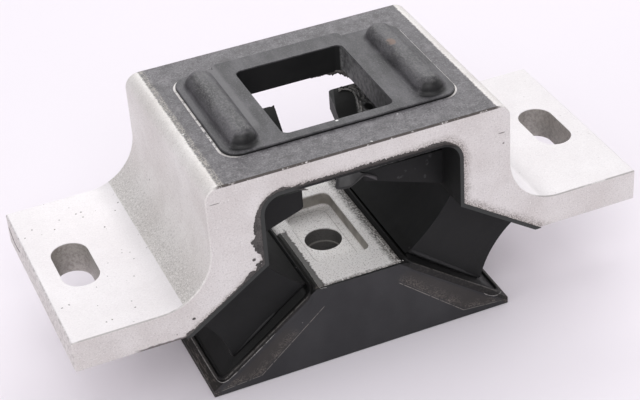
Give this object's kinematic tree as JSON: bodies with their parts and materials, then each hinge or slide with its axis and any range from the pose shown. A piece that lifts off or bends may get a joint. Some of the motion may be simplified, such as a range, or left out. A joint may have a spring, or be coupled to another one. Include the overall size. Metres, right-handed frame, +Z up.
{
  "type": "engine mount",
  "caption": "Rubber-to-metal engine mount: a slotted aluminium bracket bridging an aluminium wedge core, joined by inclined rubber legs with travel stops and a buffer pad.",
  "frame": {"origin": "on the floor, under the middle of the core's flat base, on the axis of its bolt bore", "axes": "+X along the bracket towards a slotted flange, +Y through the tunnel, away from the viewer, +Z up towards the buffer pad"},
  "size_m": [0.1994, 0.0786, 0.0916],
  "materials": {
    "cast_aluminium": "shot-blasted, matt",
    "core_aluminium": "shot-blasted, matt",
    "black_rubber": "moulded, semi-matt"
  },
  "bodies": {
    "root": {"outer_bracket": "cast_aluminium", "inner_core": "core_aluminium", "rubber_spring": "black_rubber"}
  },
  "joints": []
}
